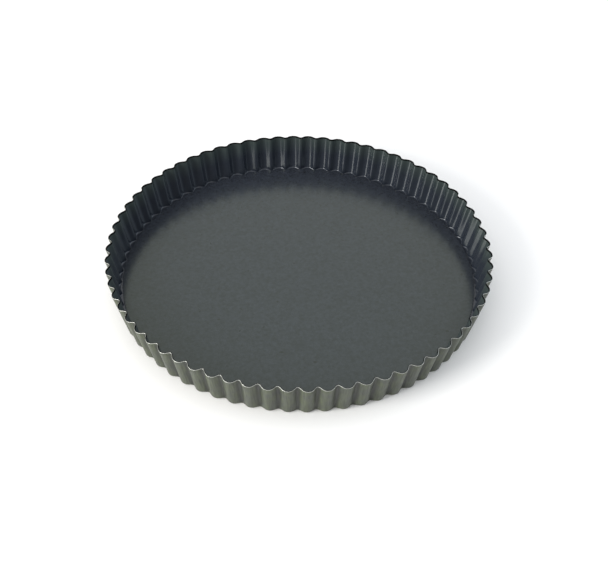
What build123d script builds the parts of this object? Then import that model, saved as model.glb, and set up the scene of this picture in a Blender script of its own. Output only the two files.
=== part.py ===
"""Round fluted tart pan with a loose base, in millimetres.

The pan is two pieces of coated sheet steel. The fluted ring has a tapered wall of 68 flutes and a narrow
flat ledge turned in at its foot. The base disc lies loose on that ledge and is pushed up out of the ring
to free the tart. The origin is the centre of the foot, on the surface that the pan stands on, +Z is up,
and one flute's crest points along +X.
"""

from build123d import *
import os
from math import acos, atan, atan2, cos, degrees, pi, sin

# Driving dimensions.
FLUTES = 68
TOP_DIAMETER = 282.8  # over the flutes' crests, where the wall's slope meets the top plane
BASE_DIAMETER = 269.4  # over the flutes' crests, where the wall's slope meets the ground
HEIGHT = 29.0
SHEET = 0.6  # thickness of the ring's coated steel
TOP_FLUTE_DEPTH = 3.6  # crest to valley, in the top plane
WALL_FOOT_FLUTE_DEPTH = 2.8  # crest to valley, where the wall meets the foot's bend
GROUND_FLUTE_DEPTH = 1.9  # crest to valley, on the underside of the foot
CREST_RADIUS = 5.2  # outside radius of a flute's crest
VALLEY_RADIUS = 1.6  # outside radius of the groove between two flutes
FOOT_RADIUS = 1.8  # outside radius of the bend between wall and ledge
FOOT_STEPS = 3  # bands that make the foot's bend
RIM_WASTE = 1.0  # how far the drawn wall stands above the top plane before its rim is trimmed
LEDGE_WIDTH = 7.0  # ledge that carries the base disc, inside the disc's edge
BASE_THICKNESS = 0.8
BASE_GAP = 0.35  # radial clearance between the base disc and the foot of the valleys
BASE_EDGE_ROUND = 0.25

# Derived dimensions.
PITCH = 2 * pi / FLUTES
WALL_SLOPE = (TOP_DIAMETER - BASE_DIAMETER) / 2 / HEIGHT  # radial growth of the crests for each unit of height
WALL_LEAN = atan(WALL_SLOPE)
WALL_FOOT_Z = FOOT_RADIUS * (1 - sin(WALL_LEAN))
WALL_FOOT_CREST = BASE_DIAMETER / 2 + WALL_SLOPE * WALL_FOOT_Z
DEPTH_SLOPE = (TOP_FLUTE_DEPTH - WALL_FOOT_FLUTE_DEPTH) / (HEIGHT - WALL_FOOT_Z)
BASE_RADIUS = WALL_FOOT_CREST - FOOT_RADIUS * cos(WALL_LEAN) - GROUND_FLUTE_DEPTH - BASE_GAP


def flute_outline(height, crest, depth, inset):
    """A closed face at one height: a crest arc, a straight flank, a valley arc and a flank for each flute.

    crest is the outline's largest radius, and depth is how far the valleys lie inside it. inset is how far
    the outline is drawn in from the wall's outer skin, which tightens the crests and opens the valleys.
    """
    crest_round = CREST_RADIUS - inset
    valley_round = VALLEY_RADIUS + inset
    crest_centre = Vector(crest - crest_round, 0)
    valley_centre = Vector(crest - depth + valley_round, 0).rotate(Axis.Z, degrees(PITCH / 2))
    across = valley_centre - crest_centre
    flank_normal = atan2(across.Y, across.X) - acos((crest_round + valley_round) / across.length)
    outwards = Vector(cos(flank_normal), sin(flank_normal))
    crest_end = crest_centre + outwards * crest_round
    valley_end = valley_centre - outwards * valley_round

    def on_ray(radius, flute):
        return Vector(radius * cos(PITCH * flute), radius * sin(PITCH * flute), height)

    def on_flute(point, flute, side):
        return Vector(point.X, point.Y * side, height).rotate(Axis.Z, degrees(PITCH * flute))

    edges = []
    for flute in range(FLUTES):
        left = on_flute(crest_end, flute, 1)
        valley_left = on_flute(valley_end, flute, 1)
        valley_right = on_flute(valley_end, flute + 1, -1)
        edges.append(ThreePointArc(on_flute(crest_end, flute, -1), on_ray(crest, flute), left))
        edges.append(Line(left, valley_left))
        edges.append(ThreePointArc(valley_left, on_ray(crest - depth, flute + 0.5), valley_right))
        edges.append(Line(valley_right, on_flute(crest_end, flute + 1, -1)))
    return make_face(edges)


def wall_body(inset):
    """The solid inside the ring's outer skin, or inside its inner skin when inset is the sheet thickness."""
    bend = FOOT_RADIUS - inset
    sections = []
    for step in range(FOOT_STEPS, -1, -1):
        share = step / FOOT_STEPS
        normal = WALL_LEAN + (pi / 2 - WALL_LEAN) * share
        drawn_in = FOOT_RADIUS * cos(WALL_LEAN) - bend * cos(normal)
        sections.append(
            flute_outline(
                height=FOOT_RADIUS - bend * sin(normal),
                crest=WALL_FOOT_CREST - drawn_in,
                depth=WALL_FOOT_FLUTE_DEPTH + (GROUND_FLUTE_DEPTH - WALL_FOOT_FLUTE_DEPTH) * share,
                inset=drawn_in,
            )
        )
    sections.append(
        flute_outline(
            height=HEIGHT + RIM_WASTE,
            crest=TOP_DIAMETER / 2 + WALL_SLOPE * RIM_WASTE - inset,
            depth=TOP_FLUTE_DEPTH + DEPTH_SLOPE * RIM_WASTE,
            inset=inset,
        )
    )
    return loft(sections, ruled=True)


def rim_trim():
    """The solid that the ring keeps: a flat cone, square to the leaning wall, through the valleys' tops."""
    low = -RIM_WASTE
    high = HEIGHT + RIM_WASTE
    valley_top = TOP_DIAMETER / 2 - TOP_FLUTE_DEPTH - SHEET

    def radius_at(height):
        return valley_top + (HEIGHT - height) / WALL_SLOPE

    return Pos(0, 0, (low + high) / 2) * Cone(radius_at(low), radius_at(high), high - low)


def fluted_ring():
    ring = wall_body(0) - wall_body(SHEET)
    ring -= Cylinder(BASE_RADIUS - LEDGE_WIDTH, 4 * SHEET)
    return ring & rim_trim()


def base_disc():
    """The disc ends just inside the foot of the valleys, where the inner bend meets the ledge."""
    lift = Pos(0, 0, SHEET + BASE_THICKNESS / 2)
    disc = lift * Cylinder(BASE_RADIUS, BASE_THICKNESS)
    return fillet(disc.edges().filter_by(GeomType.CIRCLE), BASE_EDGE_ROUND)


def main():
    os.makedirs("parts", exist_ok=True)
    export_step(fluted_ring(), "parts/fluted_ring.step")
    export_step(base_disc(), "parts/base_disc.step")
    print("base disc radius", round(BASE_RADIUS, 3), "wall lean", round(degrees(WALL_LEAN), 2))


main()
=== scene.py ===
# The looks of the tart pan: the fluted ring, the loose base, their coatings and a plain studio.
# Lengths are in metres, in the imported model's frame: +Z is the pan's axis and the foot stands on z = 0.

import math

import bpy
from mathutils import Matrix, Quaternion, Vector


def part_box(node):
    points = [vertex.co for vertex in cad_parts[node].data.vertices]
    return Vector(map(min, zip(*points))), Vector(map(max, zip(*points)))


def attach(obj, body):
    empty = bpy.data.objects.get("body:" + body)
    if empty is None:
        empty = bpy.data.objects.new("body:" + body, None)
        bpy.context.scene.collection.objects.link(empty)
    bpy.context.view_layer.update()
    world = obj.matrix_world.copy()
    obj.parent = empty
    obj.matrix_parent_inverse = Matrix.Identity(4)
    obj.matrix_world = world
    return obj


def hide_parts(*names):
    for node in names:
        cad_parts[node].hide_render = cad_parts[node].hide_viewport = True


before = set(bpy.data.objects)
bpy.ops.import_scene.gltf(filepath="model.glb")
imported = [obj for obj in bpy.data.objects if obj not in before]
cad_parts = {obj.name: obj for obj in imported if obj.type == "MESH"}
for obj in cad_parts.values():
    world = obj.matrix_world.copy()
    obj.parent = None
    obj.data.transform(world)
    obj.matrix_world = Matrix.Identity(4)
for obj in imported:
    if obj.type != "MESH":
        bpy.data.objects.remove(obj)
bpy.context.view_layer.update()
RING_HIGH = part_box("fluted_ring")[1]
BASE_LOW, BASE_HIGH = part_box("base_disc")

# The shape, which the CAD model has too. The crests' radii are where the wall's slope meets top and ground.
FLUTES = 68
HALF_PITCH = math.pi / FLUTES
HEIGHT = RING_HIGH.z
TOP_CREST = 0.1414
BASE_CREST = 0.1347
SHEET = BASE_LOW.z
TOP_FLUTE_DEPTH = 0.0036
WALL_FOOT_FLUTE_DEPTH = 0.0028
GROUND_FLUTE_DEPTH = 0.0019
CREST_RADIUS = 0.0052  # outside radius of a flute's crest
VALLEY_RADIUS = 0.0016  # outside radius of the groove between two flutes
FOOT_RADIUS = 0.0018
LEDGE_WIDTH = 0.007
BASE_EDGE_ROUND = 0.00025
WALL_SLOPE = (TOP_CREST - BASE_CREST) / HEIGHT
WALL_LEAN = math.atan(WALL_SLOPE)
WALL_FOOT_Z = FOOT_RADIUS * (1 - math.sin(WALL_LEAN))
WALL_FOOT_CREST = BASE_CREST + WALL_SLOPE * WALL_FOOT_Z
BASE_RADIUS = BASE_HIGH.x
LEDGE_RADIUS = BASE_RADIUS - LEDGE_WIDTH

# How finely the visible meshes are divided, and the small roundings and bands that only they have.
CREST_STEPS = 12
FLANK_STEPS = 3
VALLEY_STEPS = 6
WALL_ROWS = 6
BEND_ROWS = 7
EDGE_ROUND = 0.0001
RIM_ROUND = 0.0002  # the bare outer edge of the rim
RIM_STEPS = 3
RIM_BAND = 0.0012  # how far the rim's near-black painted shade reaches down the inside
BASE_SIDES = 360
BASE_RINGS = 12
BASE_EDGE_STEPS = 4

# The coating of the inside, and the painted shade of the rim. Where a colour is a pair, the grain goes from
# one to the other.
RING_COAT = ((0.016, 0.020, 0.029), (0.021, 0.026, 0.036))
# Painted light: the inside coat is blended toward a lighter, greener colour toward the rim.
UPPER_WALL_PAINTED_LIGHT = (0.042, 0.056, 0.053)
UPPER_WALL_PAINTED_LIGHT_FROM = 0.50  # share of the height from which the painted light starts
RING_COAT_ROUGHNESS = (0.12, 0.17)
RING_COAT_TINT = (0.90, 0.94, 1.0)
BASE_COAT = ((0.020, 0.023, 0.033), (0.026, 0.031, 0.042))
BASE_COAT_ROUGHNESS = (0.21, 0.26)
BASE_COAT_TINT = (0.88, 1.0, 0.76)
COAT_IOR = 1.55
MOTTLE_SIZE = 0.0025
MOTTLE = (0.76, 1.24)  # multiplies the base coat's colour
SPECK_SIZE = 0.004
SPECK_EDGE = (0.83, 0.86)  # only the noise's rare peaks reach this and are specks
SPECK_SHADE = (0.5, 0.5, 0.5)
# Painted shade: a near-black, almost unreflecting band on the rim's top and the top of its inside.
RIM_PAINTED_SHADE = ((0.001, 0.001, 0.001), (0.002, 0.002, 0.002))
RIM_PAINTED_SHADE_ROUGHNESS = (0.45, 0.6)
RIM_PAINTED_SHADE_SPECULAR = 0.03

# The lacquer of the outside and of the underside. Streaks, mottle and patches multiply its colour.
LACQUER = (0.063, 0.072, 0.052)
# The groove colour is painted shade: the lacquer is darker toward each groove between the flutes, where
# shade falls.
GROOVE_PAINTED_SHADE = (0.030, 0.033, 0.029)
GROOVE_SHADE_STARTS = 0.7  # share of the way from crest to groove from which the painted shade starts
STREAK_SIZE = 0.006
STREAKS = (0.60, 1.30)
STREAK_SHORTENING = 0.08  # how much slower the streaks change up the wall than round it
UNDERSIDE_MOTTLE_SIZE = 0.015
UNDERSIDE_MOTTLE = (0.85, 1.05)
PATCH_SIZE = 0.006
PATCHES = ((0.90, 0.90, 1.0), (1.04, 1.08, 0.88))
LACQUER_ROUGHNESS = (0.40, 0.48)
LACQUER_GRAIN_SIZE = 0.001
LACQUER_GRAIN_HEIGHT = 0.00002

# The bare steel, and what the finishes share.
CUT_STEEL = ((0.40, 0.41, 0.39), (0.62, 0.63, 0.60))
CUT_STEEL_ROUGHNESS = (0.38, 0.50)
CUT_STEEL_GRAIN_SIZE = 0.0006
GRAIN_SIZE = 0.0008
GRAIN_HEIGHT = 0.00001
SHEEN_SIZE = 0.02  # size of the patches in which the gloss varies
NOISE_RANGE = (0.3, 0.7)  # noise seldom leaves this range
NOISE_MIDDLE = (0.35, 0.65)  # and is mostly within this one

# The studio.
CAMERA_TURN = math.radians(2.300)
CAMERA_HEIGHT = 0.5038
CAMERA_BACK = 0.5527
CAMERA_LENS = 58.88  # millimetres, like the sensor's width
CAMERA_SENSOR = 36
CAMERA_ROLL = math.radians(-1.45)
CAMERA_AIM = Vector((0.0039, -0.0107, 0.0))
FLOOR_SIZE = 20.0
FLOOR_COLOUR = (0.93, 0.93, 0.93)
FLOOR_ROUGHNESS = 0.9
LAMP_DISTANCE = 1.5
DOME_RISE = (math.radians(8), math.radians(33))  # elevations between which the dome brightens
DOME_STRENGTH = (0.35, 1.1)
DOME_SIDE = (0.1, 0.9)  # how far a direction leans toward +X where the dome starts and stops dimming
DOME_SIDE_STRENGTH = (1.0, 0.50)


def outline(height, crest, depth, inset):
    """Points round the ring at one height: for each flute a crest arc, a flank, a valley arc and a flank.

    crest is the largest radius, depth is how far the valleys lie inside it, and inset is how far the
    line lies inside the outer skin, which tightens the crests and opens the valleys.
    """
    crest_radius = CREST_RADIUS - inset
    valley_radius = VALLEY_RADIUS + inset
    crest_x = crest - crest_radius
    valley_x = (crest - depth + valley_radius) * math.cos(HALF_PITCH)
    valley_y = (crest - depth + valley_radius) * math.sin(HALF_PITCH)
    centres = math.hypot(valley_x - crest_x, valley_y)
    towards = math.atan2(valley_y, valley_x - crest_x)
    half_arc = towards - math.acos((crest_radius + valley_radius) / centres)
    one_flute = []
    for step in range(CREST_STEPS + 1):
        turn = half_arc * (2 * step / CREST_STEPS - 1)
        one_flute.append((crest_x + crest_radius * math.cos(turn), crest_radius * math.sin(turn)))
    crest_end = Vector(one_flute[-1])
    first = math.pi + half_arc
    last = math.pi + 2 * HALF_PITCH - half_arc
    valley = []
    for step in range(VALLEY_STEPS + 1):
        turn = first + (last - first) * step / VALLEY_STEPS
        valley.append((valley_x + valley_radius * math.cos(turn), valley_y + valley_radius * math.sin(turn)))
    next_crest = Vector(one_flute[0])
    next_crest.rotate(Matrix.Rotation(2 * HALF_PITCH, 2))
    for step in range(1, FLANK_STEPS):
        one_flute.append(tuple(crest_end.lerp(Vector(valley[0]), step / FLANK_STEPS)))
    one_flute += valley
    for step in range(1, FLANK_STEPS):
        one_flute.append(tuple(Vector(valley[-1]).lerp(next_crest, step / FLANK_STEPS)))
    points = []
    for flute in range(FLUTES):
        cosine = math.cos(2 * HALF_PITCH * flute)
        sine = math.sin(2 * HALF_PITCH * flute)
        points += [Vector((x * cosine - y * sine, x * sine + y * cosine, height)) for x, y in one_flute]
    return points


def wall_row(share, inset, below_rim=0.0):
    """A row of the wall's skin, from the top of the foot's bend (share 0) to the rim (share 1).

    The rim is trimmed square to the leaning wall, so it falls a little from the valleys to the crests.
    """
    drawn_in = inset * math.cos(WALL_LEAN)
    low = outline(
        height=FOOT_RADIUS - (FOOT_RADIUS - inset) * math.sin(WALL_LEAN),
        crest=WALL_FOOT_CREST - drawn_in,
        depth=WALL_FOOT_FLUTE_DEPTH,
        inset=drawn_in,
    )
    high = outline(height=HEIGHT, crest=TOP_CREST - inset, depth=TOP_FLUTE_DEPTH, inset=inset)
    valley_top = TOP_CREST - TOP_FLUTE_DEPTH - SHEET
    row = []
    for foot, top in zip(low, high):
        foot_out = foot.xy.length - valley_top
        top_out = top.xy.length - valley_top
        rise = HEIGHT - below_rim - foot.z - WALL_SLOPE * foot_out
        rim = rise / (top.z - foot.z + WALL_SLOPE * (top_out - foot_out))
        row.append(foot.lerp(top, rim * share))
    return row


def bend_row(share, inset):
    """A row of the foot's bend, from the wall (share 0) to the ledge (share 1)."""
    bend = FOOT_RADIUS - inset
    normal = WALL_LEAN + (math.pi / 2 - WALL_LEAN) * share
    drawn_in = FOOT_RADIUS * math.cos(WALL_LEAN) - bend * math.cos(normal)
    return outline(
        height=FOOT_RADIUS - bend * math.sin(normal),
        crest=WALL_FOOT_CREST - drawn_in,
        depth=WALL_FOOT_FLUTE_DEPTH + (GROUND_FLUTE_DEPTH - WALL_FOOT_FLUTE_DEPTH) * share,
        inset=drawn_in,
    )


def circle_row(like, radius, height):
    """A plain circle with a point on the same ray as each point of another row."""
    return [Vector((p.x, p.y, 0)).normalized() * radius + Vector((0, 0, height)) for p in like]


def between(row, other, share):
    """The row that lies a share of the way from one row to another."""
    return [p.lerp(q, share) for p, q in zip(row, other)]


def ring_rows():
    """Rows round the sheet's section, each with the material of the band that follows it."""
    rows = []
    for step in range(WALL_ROWS + 1):
        rows.append((wall_row(1 - step / WALL_ROWS, 0.0, below_rim=RIM_ROUND), "outside"))
    for step in range(1, BEND_ROWS + 1):
        rows.append((bend_row(step / BEND_ROWS, 0.0), "outside"))
    ground = bend_row(1.0, 0.0)
    ground_edge = circle_row(ground, LEDGE_RADIUS + EDGE_ROUND, 0.0)
    rows.append((between(ground, ground_edge, 0.5), "outside"))
    rows.append((ground_edge, "cut"))
    rows.append((circle_row(ground, LEDGE_RADIUS, EDGE_ROUND), "cut"))
    rows.append((circle_row(ground, LEDGE_RADIUS, SHEET - EDGE_ROUND), "cut"))
    shelf = bend_row(1.0, SHEET)
    shelf_edge = circle_row(shelf, LEDGE_RADIUS + EDGE_ROUND, SHEET)
    rows.append((shelf_edge, "inside"))
    rows.append((between(shelf_edge, shelf, 0.5), "inside"))
    for step in range(BEND_ROWS):
        rows.append((bend_row(1 - step / BEND_ROWS, SHEET), "inside"))
    for step in range(WALL_ROWS):
        rows.append((wall_row(step / WALL_ROWS, SHEET, below_rim=RIM_BAND), "inside"))
    rows.append((wall_row(1.0, SHEET, below_rim=RIM_BAND), "rim"))
    rows.append((wall_row(1.0, SHEET, below_rim=EDGE_ROUND), "rim"))
    rows.append((wall_row(1.0, SHEET - EDGE_ROUND), "rim"))
    for step in range(RIM_STEPS):
        turn = math.pi / 2 * step / RIM_STEPS
        inset = RIM_ROUND * (1 - math.sin(turn))
        rows.append((wall_row(1.0, inset, below_rim=RIM_ROUND * (1 - math.cos(turn))), "cut"))
    return rows


def mesh_object(name, points, faces, materials, choices):
    """A smooth-shaded piece. choices says which of the materials each face has."""
    mesh = bpy.data.meshes.new(name)
    mesh.from_pydata(points, [], faces)
    for material in materials:
        mesh.materials.append(material)
    mesh.polygons.foreach_set("material_index", choices)
    mesh.polygons.foreach_set("use_smooth", [True] * len(faces))
    mesh.validate()
    mesh.update()
    piece = bpy.data.objects.new(name, mesh)
    bpy.context.scene.collection.objects.link(piece)
    return piece


def band_faces(first, second, around):
    """The faces between two closed rows of points, which start at the point numbers given."""
    faces = []
    for step in range(around):
        after = (step + 1) % around
        faces.append((first + step, second + step, second + after, first + after))
    return faces


def fluted_ring(finishes):
    """The ring's sheet: its rows form a closed loop round the sheet's section."""
    rows = ring_rows()
    around = len(rows[0][0])
    points = [point for row, _ in rows for point in row]
    names = list(finishes)
    faces = []
    choices = []
    for row, (_, finish) in enumerate(rows):
        faces += band_faces(row * around, (row + 1) % len(rows) * around, around)
        choices += [names.index(finish)] * around
    return mesh_object("ring_sheet", points, faces, list(finishes.values()), choices)


def base_sections():
    """Radius, height and following material of each of the base's rings, from its top to its underside."""
    edge = BASE_EDGE_ROUND
    radii = [(BASE_RADIUS - edge) * (ring + 1) / BASE_RINGS for ring in range(BASE_RINGS)]
    sections = [(radius, BASE_HIGH.z, "inside") for radius in radii]
    turns = [math.pi / 2 * step / BASE_EDGE_STEPS for step in range(1, BASE_EDGE_STEPS)]
    for turn in turns:
        radius = BASE_RADIUS - edge + edge * math.sin(turn)
        sections.append((radius, BASE_HIGH.z - edge + edge * math.cos(turn), "inside"))
    sections.append((BASE_RADIUS, BASE_HIGH.z - edge, "cut"))
    sections.append((BASE_RADIUS, BASE_LOW.z + edge, "cut"))
    for turn in reversed(turns):
        radius = BASE_RADIUS - edge + edge * math.sin(turn)
        sections.append((radius, BASE_LOW.z + edge - edge * math.cos(turn), "outside"))
    sections += [(radius, BASE_LOW.z, "outside") for radius in reversed(radii)]
    return sections


def base_disc(finishes):
    """The loose base: a fan of faces at the centre of each side, and bands between the rings."""
    sections = base_sections()
    points = [Vector((0, 0, BASE_HIGH.z))]
    for radius, height, _ in sections:
        for side in range(BASE_SIDES):
            turn = 2 * math.pi * side / BASE_SIDES
            points.append(Vector((radius * math.cos(turn), radius * math.sin(turn), height)))
    points.append(Vector((0, 0, BASE_LOW.z)))
    names = list(finishes)
    faces = [(0, 1 + side, 1 + (side + 1) % BASE_SIDES) for side in range(BASE_SIDES)]
    choices = [names.index("inside")] * BASE_SIDES
    for ring in range(len(sections) - 1):
        low = 1 + ring * BASE_SIDES
        faces += band_faces(low, low + BASE_SIDES, BASE_SIDES)
        choices += [names.index(sections[ring][2])] * BASE_SIDES
    last = 1 + (len(sections) - 1) * BASE_SIDES
    centre = len(points) - 1
    faces += [(last + (side + 1) % BASE_SIDES, last + side, centre) for side in range(BASE_SIDES)]
    choices += [names.index("outside")] * BASE_SIDES
    return mesh_object("base_sheet", points, faces, list(finishes.values()), choices)


def new_material(name):
    """A material, its node tree, its shader and the coordinates on the piece that wears it."""
    material = bpy.data.materials.new(name)
    material.use_nodes = True
    tree = material.node_tree
    shader = tree.nodes["Principled BSDF"]
    coordinates = tree.nodes.new("ShaderNodeTexCoord").outputs["Object"]
    return material, tree, shader, coordinates


def components(tree, vector):
    """The X, Y and Z of a vector, by name."""
    node = tree.nodes.new("ShaderNodeSeparateXYZ")
    tree.links.new(vector, node.inputs["Vector"])
    return node.outputs


def noise(tree, coordinates, size, detail=2.0):
    """Noise whose patches are about the given size across, from 0 to 1."""
    node = tree.nodes.new("ShaderNodeTexNoise")
    node.inputs["Scale"].default_value = 1 / size
    node.inputs["Detail"].default_value = detail
    tree.links.new(coordinates, node.inputs["Vector"])
    return node.outputs["Fac"]


def spread(tree, value, results, limits=NOISE_RANGE):
    """A value that goes between the limits made to go between the results instead, and held there beyond."""
    node = tree.nodes.new("ShaderNodeMapRange")
    node.inputs["From Min"].default_value, node.inputs["From Max"].default_value = limits
    node.inputs["To Min"].default_value, node.inputs["To Max"].default_value = results
    tree.links.new(value, node.inputs["Value"])
    return node.outputs["Result"]


def two_colours(tree, value, colours, limits=NOISE_MIDDLE):
    """A colour that goes from the first to the second as the value goes from one limit to the other."""
    node = tree.nodes.new("ShaderNodeValToRGB")
    for element, position, colour in zip(node.color_ramp.elements, limits, colours):
        element.position = position
        element.color = (*colour, 1)
    tree.links.new(value, node.inputs["Fac"])
    return node.outputs["Color"]


def bumps(tree, shader, value, height):
    """Relief of the given height where the value goes from 0 to 1."""
    node = tree.nodes.new("ShaderNodeBump")
    node.inputs["Distance"].default_value = height
    node.inputs["Strength"].default_value = 1.0
    tree.links.new(value, node.inputs["Height"])
    tree.links.new(node.outputs["Normal"], shader.inputs["Normal"])


def calculate(tree, operation, first, second=0.0):
    """A math node's result. Each operand is a number or another node's output."""
    node = tree.nodes.new("ShaderNodeMath")
    node.operation = operation
    for socket, operand in zip(node.inputs, (first, second)):
        if isinstance(operand, (int, float)):
            socket.default_value = operand
        else:
            tree.links.new(operand, socket)
    return node.outputs["Value"]


def calculate_vector(tree, operation, first, second=None):
    """A vector math node's result. first is a node's output, and second is one too, or three numbers."""
    node = tree.nodes.new("ShaderNodeVectorMath")
    node.operation = operation
    tree.links.new(first, node.inputs[0])
    if isinstance(second, tuple):
        node.inputs[1].default_value = second
    elif second is not None:
        tree.links.new(second, node.inputs[1])
    return node.outputs["Vector"]


def height_share(tree, coordinates, low, high):
    """0 below the low height, 1 above the high one, and a straight rise between them."""
    return spread(tree, components(tree, coordinates)["Z"], (0.0, 1.0), (low, high))


def flute_wave(tree, coordinates):
    """1 on the crest of each flute and 0 in the groove between two flutes."""
    parts = components(tree, coordinates)
    turn = calculate(tree, "ARCTAN2", parts["Y"], parts["X"])
    wave = calculate(tree, "COSINE", calculate(tree, "MULTIPLY", turn, FLUTES))
    return calculate(tree, "ADD", calculate(tree, "MULTIPLY", wave, 0.5), 0.5)


def upright_streaks(tree, coordinates):
    """Coordinates round the wall in which fine noise becomes streaks that run up and down it."""
    flat = calculate_vector(tree, "MULTIPLY", coordinates, (1, 1, 0))
    direction = calculate_vector(tree, "NORMALIZE", flat)
    upright = calculate_vector(tree, "MULTIPLY", coordinates, (0, 0, STREAK_SHORTENING / BASE_RADIUS))
    return calculate_vector(tree, "ADD", direction, upright)


def blend_colours(tree, share, first, second, mode="MIX"):
    """Two colours mixed by a share. Each is a colour or another node's output."""
    node = tree.nodes.new("ShaderNodeMix")
    node.data_type = "RGBA"
    node.blend_type = mode
    for name, value in (("Factor_Float", share), ("A_Color", first), ("B_Color", second)):
        socket = next(entry for entry in node.inputs if entry.identifier == name)
        if isinstance(value, (int, float)):
            socket.default_value = value
        elif isinstance(value, tuple):
            socket.default_value = (*value, 1)
        else:
            tree.links.new(value, socket)
    return next(entry for entry in node.outputs if entry.identifier == "Result_Color")


def shaded(tree, coat, shade):
    """A coat's colour multiplied by a shade."""
    return blend_colours(tree, 1.0, coat, shade, mode="MULTIPLY")


def set_sheen(tree, shader, coordinates, roughness):
    """Roughness that varies between two values in soft patches."""
    sheen = spread(tree, noise(tree, coordinates, SHEEN_SIZE), roughness)
    tree.links.new(sheen, shader.inputs["Roughness"])


def ring_coat():
    """The glossy navy non-stick coating inside the ring, with painted light making it lighter and greener
    toward the rim.
    """
    material, tree, shader, coordinates = new_material("ring_coating")
    grain = noise(tree, coordinates, GRAIN_SIZE, detail=3)
    # Painted light: the coat turns lighter and greener up the upper part of the wall.
    painted_upper_light = height_share(tree, coordinates, UPPER_WALL_PAINTED_LIGHT_FROM * HEIGHT, HEIGHT)
    coat = blend_colours(tree, painted_upper_light, two_colours(tree, grain, RING_COAT), UPPER_WALL_PAINTED_LIGHT)
    tree.links.new(coat, shader.inputs["Base Color"])
    set_sheen(tree, shader, coordinates, RING_COAT_ROUGHNESS)
    shader.inputs["IOR"].default_value = COAT_IOR
    shader.inputs["Specular Tint"].default_value = (*RING_COAT_TINT, 1)
    bumps(tree, shader, grain, GRAIN_HEIGHT)
    return material


def base_coat():
    """The slate-grey non-stick coating on top of the base, faintly mottled and with a few specks."""
    material, tree, shader, coordinates = new_material("base_coating")
    grain = noise(tree, coordinates, GRAIN_SIZE, detail=3)
    coat = two_colours(tree, grain, BASE_COAT)
    coat = shaded(tree, coat, spread(tree, noise(tree, coordinates, MOTTLE_SIZE, detail=4), MOTTLE))
    specks = noise(tree, coordinates, SPECK_SIZE, detail=0)
    coat = shaded(tree, coat, two_colours(tree, specks, ((1, 1, 1), SPECK_SHADE), SPECK_EDGE))
    tree.links.new(coat, shader.inputs["Base Color"])
    set_sheen(tree, shader, coordinates, BASE_COAT_ROUGHNESS)
    shader.inputs["IOR"].default_value = COAT_IOR
    shader.inputs["Specular Tint"].default_value = (*BASE_COAT_TINT, 1)
    bumps(tree, shader, grain, GRAIN_HEIGHT)
    return material


def finish_lacquer(tree, shader, coordinates, coat):
    """The lacquer's faint patches of greener and greyer colour, its satin sheen and its fine grain."""
    patches = two_colours(tree, noise(tree, coordinates, PATCH_SIZE, detail=3), PATCHES)
    tree.links.new(shaded(tree, coat, patches), shader.inputs["Base Color"])
    set_sheen(tree, shader, coordinates, LACQUER_ROUGHNESS)
    bumps(tree, shader, noise(tree, coordinates, LACQUER_GRAIN_SIZE, detail=4), LACQUER_GRAIN_HEIGHT)


def wall_lacquer_and_groove_shade():
    """The olive-grey lacquer outside the ring, with painted shade darkening the grooves, and streaked up and
    down the wall.
    """
    material, tree, shader, coordinates = new_material("wall_lacquer_and_groove_shade")
    # Painted shade: the colour darkens toward each groove, above the foot.
    groove = calculate(tree, "SUBTRACT", 1.0, flute_wave(tree, coordinates))
    above_foot = height_share(tree, coordinates, 0.0, FOOT_RADIUS)
    groove = calculate(tree, "MULTIPLY", groove, above_foot)
    coat = two_colours(tree, groove, (LACQUER, GROOVE_PAINTED_SHADE), (GROOVE_SHADE_STARTS, 1.0))
    streaks = noise(tree, upright_streaks(tree, coordinates), STREAK_SIZE, detail=4)
    finish_lacquer(tree, shader, coordinates, shaded(tree, coat, spread(tree, streaks, STREAKS)))
    return material


def base_lacquer():
    """The same lacquer under the base, faintly mottled."""
    material, tree, shader, coordinates = new_material("base_lacquer")
    mottle = noise(tree, coordinates, UNDERSIDE_MOTTLE_SIZE, detail=4)
    coat = shaded(tree, LACQUER, spread(tree, mottle, UNDERSIDE_MOTTLE))
    finish_lacquer(tree, shader, coordinates, coat)
    return material


def rim_painted_shade():
    """Near-black painted shade on top of the rim and along the top of its inside."""
    material, tree, shader, coordinates = new_material("rim_painted_shade")
    grain = noise(tree, coordinates, GRAIN_SIZE, detail=3)
    tree.links.new(two_colours(tree, grain, RIM_PAINTED_SHADE), shader.inputs["Base Color"])
    tree.links.new(spread(tree, grain, RIM_PAINTED_SHADE_ROUGHNESS), shader.inputs["Roughness"])
    shader.inputs["Specular IOR Level"].default_value = RIM_PAINTED_SHADE_SPECULAR
    bumps(tree, shader, grain, GRAIN_HEIGHT)
    return material


def cut_steel():
    """The bare steel of the cut edges."""
    material, tree, shader, coordinates = new_material("cut_steel")
    grain = noise(tree, coordinates, CUT_STEEL_GRAIN_SIZE, detail=3)
    tree.links.new(two_colours(tree, grain, CUT_STEEL), shader.inputs["Base Color"])
    shader.inputs["Metallic"].default_value = 1.0
    tree.links.new(spread(tree, grain, CUT_STEEL_ROUGHNESS), shader.inputs["Roughness"])
    bumps(tree, shader, grain, GRAIN_HEIGHT)
    return material


def floor():
    """A large, pale, matt floor."""
    half = FLOOR_SIZE / 2
    corners = [Vector((x * half, y * half, 0)) for x, y in ((-1, -1), (1, -1), (1, 1), (-1, 1))]
    material, _, shader, _ = new_material("floor_white")
    shader.inputs["Base Color"].default_value = (*FLOOR_COLOUR, 1)
    shader.inputs["Roughness"].default_value = FLOOR_ROUGHNESS
    piece = mesh_object("floor", corners, [(0, 1, 2, 3)], [material], [0])


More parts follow.
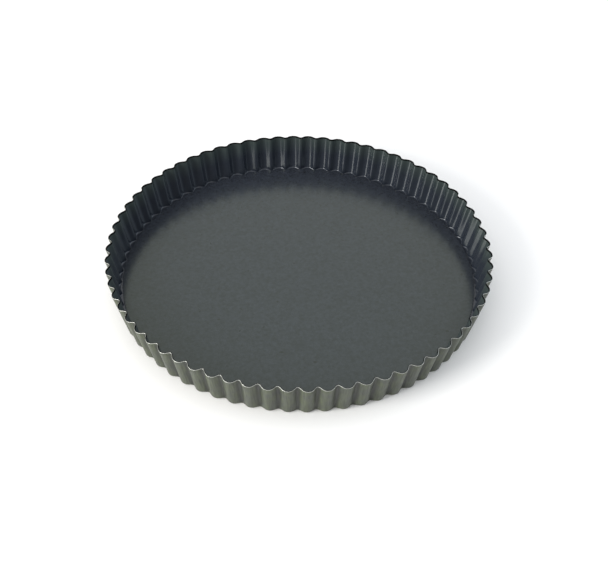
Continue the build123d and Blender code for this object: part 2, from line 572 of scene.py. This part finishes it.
def softbox(name, azimuth, elevation, width, height, radiance, tint):
    """A soft rectangular lamp facing the pan.

    azimuth is in degrees from +X, elevation is in degrees from the floor, and radiance is the brightness
    of the lamp's face, whatever its size.
    """
    lamp = bpy.data.lights.new(name, "AREA")
    lamp.shape = "RECTANGLE"
    lamp.size = width
    lamp.size_y = height
    lamp.energy = radiance * math.pi * width * height
    lamp.color = tint
    piece = bpy.data.objects.new(name, lamp)
    turn = math.radians(azimuth)
    rise = math.radians(elevation)
    place = Vector((math.cos(turn) * math.cos(rise), math.sin(turn) * math.cos(rise), math.sin(rise)))
    piece.location = place * LAMP_DISTANCE
    piece.rotation_mode = "QUATERNION"
    piece.rotation_quaternion = (-place).to_track_quat("-Z", "Y")
    bpy.context.scene.collection.objects.link(piece)


def dome():
    """A pale dome all round, darker near the horizon and toward +X."""
    world = bpy.data.worlds.new("studio")
    world.use_nodes = True
    tree = world.node_tree
    direction = tree.nodes.new("ShaderNodeTexCoord").outputs["Generated"]
    low, high = DOME_RISE
    rise = height_share(tree, direction, math.sin(low), math.sin(high))
    upwards = spread(tree, rise, DOME_STRENGTH, (0, 1))
    sideways = spread(tree, components(tree, direction)["X"], DOME_SIDE_STRENGTH, DOME_SIDE)
    background = tree.nodes["Background"]
    background.inputs["Color"].default_value = (1.0, 1.0, 1.0, 1)
    tree.links.new(calculate(tree, "MULTIPLY", upwards, sideways), background.inputs["Strength"])
    bpy.context.scene.world = world


def studio():
    """The dome, a strong soft lamp low on the left and a weak, wider and cooler one low on the right."""
    dome()
    softbox("key", azimuth=215, elevation=22, width=0.6, height=0.9, radiance=13.0, tint=(1.0, 0.98, 0.94))
    softbox("fill", azimuth=15, elevation=24, width=2.0, height=0.8, radiance=1.6, tint=(0.78, 0.89, 1.0))


def camera():
    """The camera: it looks down at the pan from the front, and is rolled a little."""
    data = bpy.data.cameras.new("camera")
    data.lens = CAMERA_LENS
    data.sensor_width = CAMERA_SENSOR
    piece = bpy.data.objects.new("camera", data)
    turn = Quaternion((0, 0, 1), CAMERA_TURN)
    place = turn @ Vector((0, -CAMERA_BACK, CAMERA_HEIGHT))
    look = (turn @ CAMERA_AIM - place).normalized()
    piece.location = place
    piece.rotation_mode = "QUATERNION"
    piece.rotation_quaternion = Quaternion(look, CAMERA_ROLL) @ look.to_track_quat("-Z", "Y")
    bpy.context.scene.collection.objects.link(piece)
    bpy.context.scene.camera = piece


def main():
    """The two pieces on their bodies, and the studio round them."""
    bare_edge = cut_steel()
    ring = fluted_ring(
        {"outside": wall_lacquer_and_groove_shade(), "cut": bare_edge, "inside": ring_coat(), "rim": rim_painted_shade()}
    )
    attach(ring, "ring")
    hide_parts("fluted_ring")
    base = base_disc({"outside": base_lacquer(), "cut": bare_edge, "inside": base_coat()})
    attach(base, "base")
    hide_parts("base_disc")
    floor()
    studio()
    camera()
    bpy.context.scene.view_settings.view_transform = "Standard"


main()
